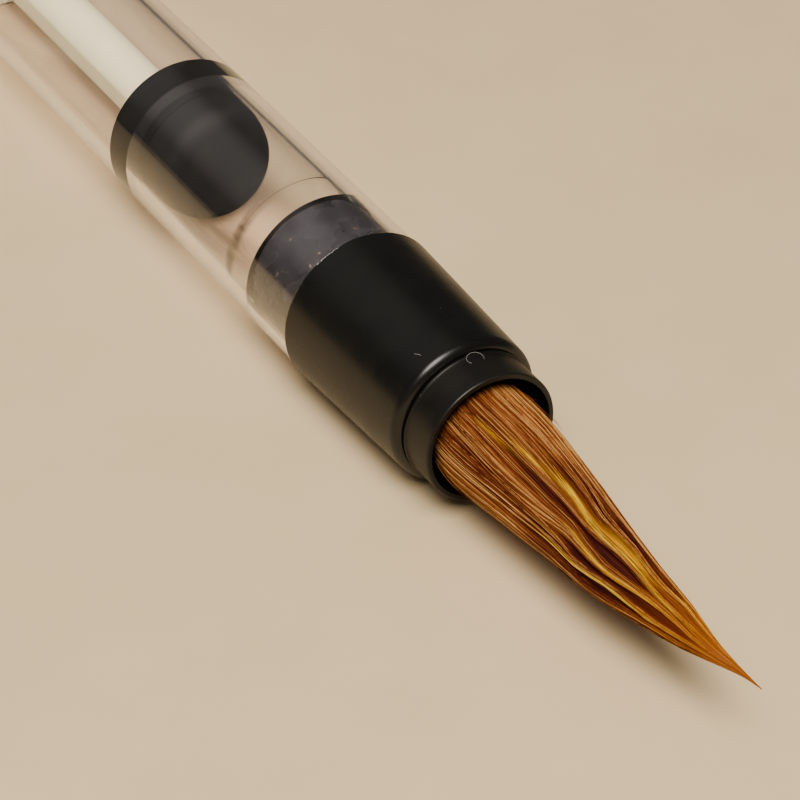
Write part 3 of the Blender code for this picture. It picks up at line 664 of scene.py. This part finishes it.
def strand_mesh(name, angle, radius, along, thickness, tone_shift, wave=0.0):
    """Three-sided tapered hairs; every array has one row for a hair and one column for a point."""
    hairs, points = along.shape
    centre = tuft_point(angle, radius, along)
    tangent = np.gradient(centre, axis=1)
    tangent /= np.linalg.norm(tangent, axis=-1, keepdims=True)
    outward = np.stack([-np.cos(angle), np.sin(angle), np.zeros_like(angle)], axis=-1)
    side = np.cross(tangent, outward)
    side /= np.linalg.norm(side, axis=-1, keepdims=True)
    outward = np.cross(side, tangent)
    rings = []
    for corner in range(3):
        turn = 2 * math.pi * corner / 3
        rings.append(centre + (outward * math.cos(turn) + side * math.sin(turn)) * thickness[..., None] * MM)
    verts = np.stack(rings, axis=2).reshape(-1, 3)
    base = (np.arange(hairs)[:, None] * points + np.arange(points - 1)[None, :]) * 3
    quads = []
    for corner in range(3):
        nxt = (corner + 1) % 3
        quads.append(np.stack([base + corner, base + 3 + corner, base + 3 + nxt, base + nxt], axis=-1))
    quads = np.stack(quads, axis=2).reshape(-1, 4)
    first = np.arange(hairs) * points * 3
    last = first + (points - 1) * 3
    caps = np.concatenate([
        np.stack([first, first + 1, first + 2], axis=-1),
        np.stack([last, last + 2, last + 1], axis=-1),
    ])
    mesh = bpy.data.meshes.new(name)
    mesh.from_pydata(verts.tolist(), [], quads.tolist() + caps.tolist())
    place = share(along)
    tone, highlight = hair_look(angle - wave, place)
    tone = 0.46 + (tone - 0.46) * (1.0 + 0.6 * np.sin(9.0 * tone_shift))[:, None] + tone_shift[:, None]
    highlight = highlight * np.clip(0.9 + 3.0 * tone_shift, 0.0, 1.0)[:, None]
    carry(mesh, np.repeat(angle.ravel(), 3), np.repeat(along.ravel(), 3),
          np.repeat(tone.ravel(), 3), np.repeat(highlight.ravel(), 3))
    made = bpy.data.objects.new(name, mesh)
    bpy.context.scene.collection.objects.link(made)
    return finish_mesh(made, TUFT_HAIR, "brush_head", (), sharp=180.0)


def make_strands(rng, clumps):
    """The hairs on the tuft's surface, drawn together into clumps and ribbons towards the tip."""
    hairs, points = 2000, 17
    clump = rng.integers(0, CLUMPS, hairs)
    each = {key: value[clump][:, None] for key, value in clumps.items()}
    spread = rng.uniform(-1.0, 1.0, hairs)[:, None]
    end = np.where(rng.random(hairs) < 0.35, rng.uniform(0.84, 0.93, hairs), rng.uniform(0.42, 0.90, hairs))
    step = np.linspace(0.0, 1.0, points)
    start = RIM - 3.2
    along = start + (RIM + (TIP - RIM) * end[:, None] - start) * step
    place = share(along)
    gather = 1.0 - 0.55 * ease(place, 0.05, 0.5)
    waver = 0.02 * np.sin(place * rng.uniform(6, 14, hairs)[:, None] + rng.uniform(0, 6.28, hairs)[:, None])
    wave = clump_wave(each, place)
    angle = clump_course(each, place) + spread * gather * 2 * math.pi / CLUMPS * 0.95 + waver + wave
    slim = np.minimum(1.0, tuft_radius(along) / 1.5)
    pale = rng.random(hairs) < 0.07
    lift = np.where(pale, 0.03, rng.uniform(-0.16, 0.02, hairs))[:, None] * (1 - ease(place, 0.6, 0.98))
    crown = 0.12 * (1 - spread ** 2) * ease(place, 0.1, 0.4) - 0.06 * each["rise"]
    radius = tuft_radius(along) * 0.972 + (lift + crown - 0.05) * slim
    radius = radius - 0.12 * ease(step, 0.88, 1.0) * slim
    radius = np.maximum(radius, 0.004)
    taper = (1 - 0.3 * ease(place, 0.2, 0.8)) * (1 - 0.85 * ease(step, 0.82, 1.0)) * np.ones_like(along)
    finer = np.minimum(1.0, 0.25 + tuft_radius(along) / 1.2)
    thickness = np.where(pale, 0.022, rng.uniform(0.022, 0.042, hairs))[:, None] * taper * finer
    tone_shift = np.where(pale, rng.uniform(0.34, 0.60, hairs), rng.normal(0.0, 0.15, hairs))
    return strand_mesh("tuft_strands", angle, radius, along, thickness, tone_shift, wave)


def make_strays(rng):
    """A few broken hairs that stand away at the rim."""
    hairs, points = 34, 10
    step = np.linspace(0.0, 1.0, points)
    length = rng.uniform(1.2, 6.0, hairs)[:, None]
    along = (RIM - 1.2) + length * step
    bend = rng.uniform(-0.45, 0.45, hairs)[:, None] * step ** 1.5
    angle = rng.uniform(0, 2 * math.pi, hairs)[:, None] + bend
    lift = rng.uniform(0.02, 0.30, hairs)[:, None] * np.sin(step * math.pi * 0.8)
    radius = tuft_radius(along) * 0.985 + lift
    thickness = rng.uniform(0.018, 0.03, hairs)[:, None] * (1 - 0.8 * step ** 2)
    return strand_mesh("tuft_stray_hairs", angle, radius, along, thickness, rng.normal(-0.05, 0.25, hairs))


rng = np.random.default_rng(7)
clumps = pick_clumps(rng)
make_tuft_body(clumps)
make_strands(rng, clumps)
make_strays(rng)


# ---------------------------------------------------------------- turned pieces

def mm(*points):
    """An outline given in millimetres, as (along, radius) points."""
    return [(along * MM, radius * MM) for along, radius in points]


def make_front():
    """The neck and the grip section with its spigot."""
    neck = mm((RIM, 5.42), (18.72, 5.5), (15.98, 5.5), *arc(15.77, 5.45, 0.16, 20.0, 170.0),
              (15.5, 4.9), (5.6, 4.9), (5.6, 1.7), (7.2, 1.7), (7.2, 4.4), (15.7, 4.4), (16.9, 4.95),
              (RIM, 5.05))
    turned("neck", neck, NECK_BLACK, "brush_head", ("ferrule",), edge=0.06 * MM)
    shoulder = 0.8
    collar = mm((GRIP_FRONT, 5.62), *arc(GRIP_FRONT - shoulder, 6.2 - shoulder, shoulder, 15.0, 90.0),
                (0.12, WIDEST), (0.0, 6.63), (0.0, 5.7), (-6.35, 5.7), (-6.35, 4.4), (2.6, 4.4), (2.6, 1.4),
                (5.2, 1.4), (5.2, 5.2), (GRIP_FRONT, 5.2))
    turned("grip_collar", collar, GRIP_BLACK, "grip", ("grip_section",), edge=0.07 * MM)


def make_fibre(name, points, body):
    """A thread of lint, as a thin tube through points given as (along, radius, angle from straight up)."""
    curve = bpy.data.curves.new(name, "CURVE")
    curve.dimensions = "3D"
    curve.bevel_depth = 0.012 * MM
    curve.bevel_resolution = 1
    curve.use_fill_caps = True
    spline = curve.splines.new("NURBS")
    spline.points.add(len(points) - 1)
    spline.use_endpoint_u = True
    spline.resolution_u = 4
    for point, (along, radius, degrees) in zip(spline.points, points):
        angle = math.radians(degrees)
        point.co = (-radius * math.cos(angle) * MM, radius * math.sin(angle) * MM, along * MM, 1.0)
    drawn = bpy.data.objects.new(name + "_curve", curve)
    bpy.context.scene.collection.objects.link(drawn)
    graph = bpy.context.evaluated_depsgraph_get()
    mesh = bpy.data.meshes.new_from_object(drawn.evaluated_get(graph))
    bpy.data.objects.remove(drawn)
    made = bpy.data.objects.new(name, mesh)
    bpy.context.scene.collection.objects.link(made)
    finish_mesh(made, LINT, body, (), sharp=180.0)


def make_lint():
    """A curl of lint across the gap between grip section and neck, and a short thread behind it."""
    curl = []
    for step in range(9):
        turn = math.radians(50.0 + 33.0 * step)
        along = 16.2 + 0.55 * math.cos(turn)
        curl.append((along, 5.53 + 0.36 * max(0.0, 16.15 - along), 2.0 + 7.5 * math.sin(turn)))
    make_fibre("lint_curl", curl, "grip")
    make_fibre("lint_thread", ((13.3, 6.27, -31.0), (13.5, 6.31, -29.5), (13.8, 6.25, -28.6)), "grip")


def make_barrel():
    """The clear tube, its front face against the grip section."""
    tube = mm((-0.03, 6.55), (-0.1, 6.6), (-69.0, 6.6), (-69.0, 5.8), (BORE_REAR, 5.8), (BORE_REAR, BORE),
              (BORE_FRONT, BORE), (BORE_FRONT, 5.46), (-6.55, 5.46), (-6.55, 5.98), (-0.03, 5.98))
    turned("clear_tube", tube, CLEAR, "barrel", ("barrel",), sides=192, edge=0.05 * MM)


def make_seal():
    """The two-lip piston seal; the rear lip presses on the bore."""
    lip = BORE + 0.005
    seal = mm((-21.4, 0.0), *arc(-22.9, 3.7, 1.5, 0.0, 90.0, 10), (-24.8, 5.22), (-25.2, 4.9), (-26.2, 4.85),
              (-26.85, lip), (-29.8, lip), (-30.0, 5.1), (-30.0, 1.9), (-27.9, 1.9), (-27.9, 2.9),
              (-25.4, 2.9), (-24.4, 0.0))
    turned("seal", seal, SILICONE, "piston", ("piston_seal",), edge=0.10 * MM)


def make_rod():
    """The rod, round in front and flat-sided where it runs through its guide."""
    half_across = 2.15 * MM

    def flat_sided(along, radius, angle):
        if along > -31.0 * MM or radius < half_across:
            return radius
        return min(radius, half_across / max(abs(math.sin(angle)), 0.01))

    rod = mm((-25.6, 0.0), (-25.6, 2.1), (-27.8, 2.6), (-27.8, 1.6), (-30.3, 1.6), (-30.3, 2.3), (-30.9, 2.3),
             (-31.1, 2.3), (-72.5, 2.3), (-72.5, 1.75), (-67.5, 1.9), (-33.0, 1.9), (-33.0, 0.0))
    turned("rod", rod, WARM_WHITE, "piston", ("piston_rod",), shape_ring=flat_sided, edge=0.1 * MM)


def make_rod_guide():
    """The bush behind the step in the bore, with a flat-sided hole for the rod."""
    half_across = 2.3 * MM

    def flat_sided(along, radius, angle):
        inside = half_across < radius < 3.0 * MM
        return min(radius, half_across / max(abs(math.sin(angle)), 0.01)) if inside else radius

    front = BORE_REAR - 0.3
    guide = mm((front, 2.45), (front, 5.5), (-64.0, 5.5), (-64.0, 2.45))
    turned("rod_guide_fine", guide, WARM_WHITE, "barrel", ("rod_guide",), shape_ring=flat_sided,
           edge=0.15 * MM)


def make_rear():
    """The collar behind the barrel, the trim ring and the fluted knob."""
    collar = mm((-66.7, 5.5), (-69.05, 5.5), (-69.05, 6.6), (-69.3, WIDEST), (-70.7, WIDEST),
                (-70.85, 6.62), (-71.05, 6.62), (-71.2, WIDEST), (-72.6, 6.7), (-72.6, 4.5), (-71.5, 4.5),
                (-71.5, 5.15), (-70.4, 5.15), (-70.4, 4.5), (-66.7, 4.5))
    turned("rear_collar_fine", collar, GLOSS_BLACK, "barrel", ("rear_collar",), edge=0.12 * MM)
    trim = mm((-72.7, 6.45), (-72.95, 6.73), (-73.65, 6.73), (-73.9, 6.45), (-73.9, 4.5), (-72.7, 4.5))
    turned("trim_ring_fine", trim, CHROME, "knob", ("trim_ring",), edge=0.1 * MM)

    flutes = 36

    def fluted(along, radius, angle):
        inside = radius > 6.3 * MM
        middle = ease(np.array(-along / MM), 75.0, 75.6) * (1 - ease(np.array(-along / MM), 84.0, 84.6))
        groove = 0.5 - 0.5 * math.cos(flutes * angle)
        return radius - (0.26 * MM * float(middle) * groove ** 2 if inside else 0.0)

    knob = mm((-74.0, 6.2), (-74.25, 6.5)) + mm(*[(-74.6 - 0.35 * i, 6.5) for i in range(31)])
    knob += mm((-85.25, 6.5), (-85.5, 6.2), (-85.5, 5.5), (-101.6, 5.5), (-102.0, 5.1), (-102.0, 4.1),
               (-97.6, 4.1), (-97.6, 3.2), (-79.3, 3.2), (-79.3, 4.5), (-74.0, 4.5))
    turned("fluted_knob", knob, GLOSS_BLACK, "knob", ("turning_knob",), sides=288, shape_ring=fluted,
           edge=0.1 * MM)


def make_cap():
    """Cap shell, mouth band and finial."""
    shell = mm((-85.9, 6.2), (-86.1, 6.45), (-86.85, 6.45), (-86.85, 6.15), (-89.35, 6.15), (-89.35, 6.5),
               (-129.6, 6.45), (-130.0, 6.1), (-130.0, 2.2), (-128.6, 2.2), (-128.6, 5.8), (-85.9, 5.8))
    turned("cap_shell_fine", shell, GLOSS_BLACK, "cap", ("cap_shell",), edge=0.12 * MM)
    band = mm((-86.9, 6.3), (-86.9, 6.64), (-87.5, 6.64), (-87.62, 6.56), (-88.58, 6.56), (-88.7, 6.64),
              (-89.3, 6.64), (-89.3, 6.3))
    turned("mouth_band", band, CHROME, "cap", ("cap_band",), edge=0.08 * MM)
    finial = mm((-126.3, 0.0), (-126.3, 1.9), (-131.2, 1.9), (-131.2, 6.2), (-131.5, 6.5), (-132.2, 6.5),
                (-132.4, 6.4), (-133.3, 5.8), (-134.0, 4.3), (-134.0, 0.0))
    turned("finial", finial, CHROME, "cap", ("cap_finial",), edge=0.25 * MM)


def clip_path():
    """The clip arm's middle line, as (along, distance from the axis) in millimetres."""
    points = [(-130.6, 4.0)] + arc(-129.2, 7.2, 1.4, 180.0, 90.0, 12)
    for start, first, second, end in (
        ((-129.2, 8.6), (-125.5, 8.9), (-121.0, 9.2), (-116.0, 9.2)),
        ((-116.0, 9.2), (-108.0, 9.2), (-99.5, 7.1), (-96.0, 7.1)),
        ((-96.0, 7.1), (-95.0, 7.1), (-94.0, 7.5), (-93.3, 8.1)),
    ):
        knots = [Vector(point) for point in (start, first, second, end)]
        for step in range(1, 17):
            t = step / 16
            weights = ((1 - t) ** 3, 3 * t * (1 - t) ** 2, 3 * t * t * (1 - t), t ** 3)
            point = sum((knot * weight for knot, weight in zip(knots, weights)), Vector((0.0, 0.0)))
            points.append(tuple(point))
    return points


def make_clip():
    """The sprung arm, with rolled edges, and the washer under the finial that holds it."""
    path = [Vector(point) for point in clip_path()]
    half_thick, corner = 0.3, 0.17
    taper_start, taper_length = -116.0, 22.7
    rows = []
    shape = bmesh.new()
    for i, here in enumerate(path):
        forward = (path[min(i + 1, len(path) - 1)] - path[max(i - 1, 0)]).normalized()
        out = Vector((-forward.y, forward.x))
        past_top = max(0.0, (here.x - taper_start) / taper_length)
        half_wide = CLIP_HALF_WIDE * (1.0 - 0.3 * past_top)
        row = []
        for across, up, turn in ((1, 1, 0), (-1, 1, 90), (-1, -1, 180), (1, -1, 270)):
            for step in range(5):
                angle = math.radians(turn + 22.5 * step)
                side = across * (half_wide - corner) + corner * math.cos(angle)
                lift = up * (half_thick - corner) + corner * math.sin(angle)
                place = here + out * lift
                row.append(shape.verts.new((place.y * MM, side * MM, place.x * MM)))
        rows.append(row)
    for near, far in zip(rows, rows[1:]):
        for i in range(len(near)):
            j = (i + 1) % len(near)
            shape.faces.new((near[i], near[j], far[j], far[i]))
    shape.faces.new(rows[0])
    shape.faces.new(rows[-1])
    bmesh.ops.recalc_face_normals(shape, faces=shape.faces)
    bmesh.ops.rotate(shape, matrix=Matrix.Rotation(-CLIP_ANGLE, 3, "Z"), verts=shape.verts)
    mesh = bpy.data.meshes.new("clip_arm")
    shape.to_mesh(mesh)
    shape.free()
    made = bpy.data.objects.new("clip_arm", mesh)
    bpy.context.scene.collection.objects.link(made)
    finish_mesh(made, CHROME, "cap", ("cap_clip",))
    washer = mm((-130.25, 2.2), (-130.25, 6.2), (-130.95, 6.2), (-130.95, 2.2))
    turned("clip_washer", washer, CHROME, "cap", edge=0.1 * MM)


make_front()
make_lint()
make_barrel()
make_seal()
make_rod()
make_rod_guide()
make_rear()
make_cap()
make_clip()

# ---------------------------------------------------------------- CAD nodes that stay

STAYING = {
    "screw_spindle": WARM_WHITE, "cap_inner_sleeve": WARM_WHITE, "thrust_washer": SLIP,
    "drive_sleeve": BRASS, "finial_nut": BRASS, "knob_end_plug": SATIN_BLACK, "flow_plug": SATIN_BLACK,
    "knob_oring": RUBBER, "ink_wick": FIBRE,
    "root_plug": RESIN, "root_binding": THREAD, "core_hair": INNER_HAIR,
}
for name, material in STAYING.items():
    NODES[name].data.materials.clear()
    NODES[name].data.materials.append(material)


# ---------------------------------------------------------------- floor, light and camera

def paper():
    """The pale floor: faint mottling and fibres."""
    made, tree, shader = new_material("pale_floor")
    space = object_space(tree)
    mottle = noise(tree, space, 0.08, 4.0, 0.6)
    fibre = noise(tree, space, 1.6, 4.0, 0.7)
    base = mix_colour(tree, remap(tree, mottle, 0.3, 0.7), (0.76, 0.565, 0.32), (0.79, 0.59, 0.345))
    link(tree, base, shader.inputs["Base Color"])
    shader.inputs["Roughness"].default_value = 0.75
    link(tree, bump(tree, fibre, 0.25, 0.02 * MM), shader.inputs["Normal"])
    return made


def make_floor():
    """A wide plain floor under the pen."""
    bpy.ops.mesh.primitive_plane_add(size=3.0)
    floor = bpy.context.object
    floor.name = "floor"
    floor.data.materials.append(paper())


def area_light(name, place, aim, size, power, colour):
    """A rectangular lamp that faces a point."""
    light = bpy.data.lights.new(name, "AREA")
    light.shape = "RECTANGLE"
    light.size, light.size_y = size
    light.energy = power
    light.color = colour
    made = bpy.data.objects.new(name, light)
    bpy.context.scene.collection.objects.link(made)
    made.location = place
    made.rotation_euler = (Vector(aim) - Vector(place)).to_track_quat("-Z", "Y").to_euler()


def make_world():
    """A dim room, softly brighter high up behind the pen."""
    world = bpy.data.worlds.new("studio")
    world.use_nodes = True
    tree = world.node_tree
    background = tree.nodes["Background"]
    background.inputs["Color"].default_value = (1.0, 0.95, 0.89, 1.0)
    coords = tree.nodes.new("ShaderNodeTexCoord")
    toward = tree.nodes.new("ShaderNodeVectorMath")
    toward.operation = "DOT_PRODUCT"
    toward.inputs[1].default_value = Vector((-0.61, -0.22, 0.76)).normalized()
    link(tree, coords.outputs["Generated"], toward.inputs[0])
    link(tree, remap(tree, toward.outputs["Value"], 0.80, 1.0, 0.09, 0.42), background.inputs["Strength"])
    bpy.context.scene.world = world


def make_lights():
    """One large soft key, high in front of the pen."""
    middle = Vector((REAR_EDGE + 10.0 * MM, AXIS_Y, 0.0))
    area_light("key", middle + Vector((0.28, -0.17, 0.53)), middle, (0.30, 0.30), 6.5, (1.0, 0.95, 0.87))


def make_camera():
    """Seen from the front left and above, 270 mm away, through a long lens."""
    azimuth, elevation = math.radians(58.95), math.radians(37.49)
    distance = 0.26998
    target = Vector((REAR_EDGE + 9.67 * MM, AXIS_Y - 2.27 * MM, 5.13 * MM))
    back = Vector((math.sin(azimuth) * math.cos(elevation), -math.cos(azimuth) * math.cos(elevation),
                   math.sin(elevation)))
    data = bpy.data.cameras.new("camera")
    data.sensor_width = 36.0
    data.lens = 162.04
    data.clip_start = 0.01
    data.clip_end = 20.0
    camera = bpy.data.objects.new("camera", data)
    bpy.context.scene.collection.objects.link(camera)
    camera.location = target + back * distance
    camera.rotation_euler = (-back).to_track_quat("-Z", "Y").to_euler()
    bpy.context.scene.camera = camera


make_floor()
make_world()
make_lights()
make_camera()
